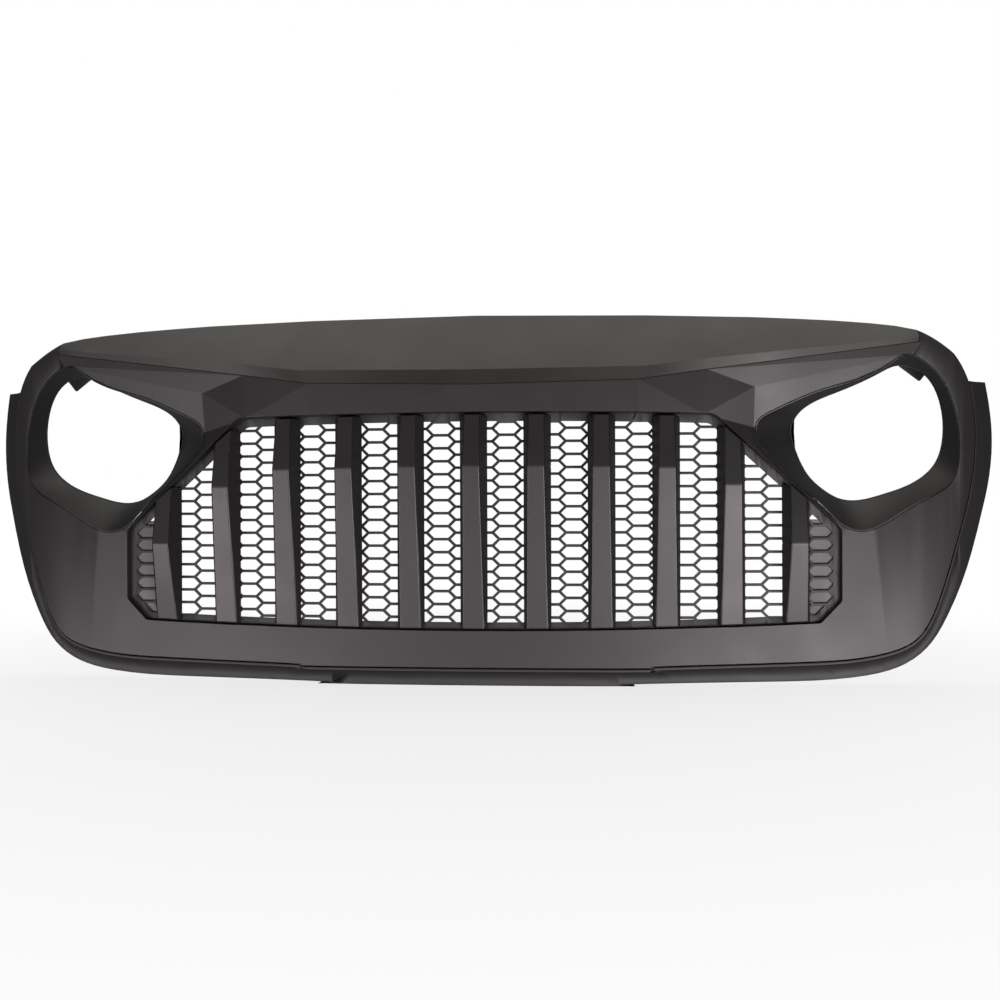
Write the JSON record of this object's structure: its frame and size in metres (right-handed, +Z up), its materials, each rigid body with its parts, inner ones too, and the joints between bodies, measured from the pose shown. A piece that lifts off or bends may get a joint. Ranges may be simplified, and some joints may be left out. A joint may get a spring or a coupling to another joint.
{
  "type": "vehicle front grille",
  "caption": "Wide moulded front grille with slanted headlight openings, a sloping visor and vertical slats over a hexagon mesh.",
  "frame": {"origin": "middle of the line of the four top bolt holes, on the upper face of the bolting flange behind the visor", "axes": "+X across the vehicle along the grille's width, +Y to the rear, +Z up; the front looks along -Y"},
  "size_m": [1.4468, 0.2063, 0.516],
  "materials": {
    "textured_black": "fine-grained matte black",
    "rim_black": "fine-grained matte black",
    "visor_black": "fine-grained matte black",
    "bezel_black": "matte black",
    "slat_black": "fine-grained matte black",
    "mesh_black": "matte black",
    "baffle_grey": "matte grey",
    "seal_foam": "closed-cell foam",
    "bracket_steel": "black powder coat",
    "zinc_screw": "zinc plated"
  },
  "bodies": {
    "root": {"fascia_shell": "textured_black", "surround_frame": "rim_black", "ear_seal_left": "seal_foam", "ear_seal_right": "seal_foam", "upper_visor": "visor_black", "visor_screws": "zinc_screw", "mesh_insert": "mesh_black", "side_baffle_left": "baffle_grey", "side_baffle_right": "baffle_grey", "headlight_bezel_left": "bezel_black", "headlight_bezel_right": "bezel_black", "lamp_bracket_left": "bracket_steel", "lamp_bracket_right": "bracket_steel", "mesh_screws": "zinc_screw", "slat_screws": "zinc_screw", "surround_screws": "zinc_screw", "bezel_screws": "zinc_screw", "bracket_screws": "zinc_screw", "slat_01": "slat_black", "slat_02": "slat_black", "slat_03": "slat_black", "slat_04": "slat_black", "slat_05": "slat_black", "slat_06": "slat_black", "slat_07": "slat_black", "slat_08": "slat_black", "slat_09": "slat_black", "slat_10": "slat_black", "slat_11": "slat_black"}
  },
  "joints": []
}
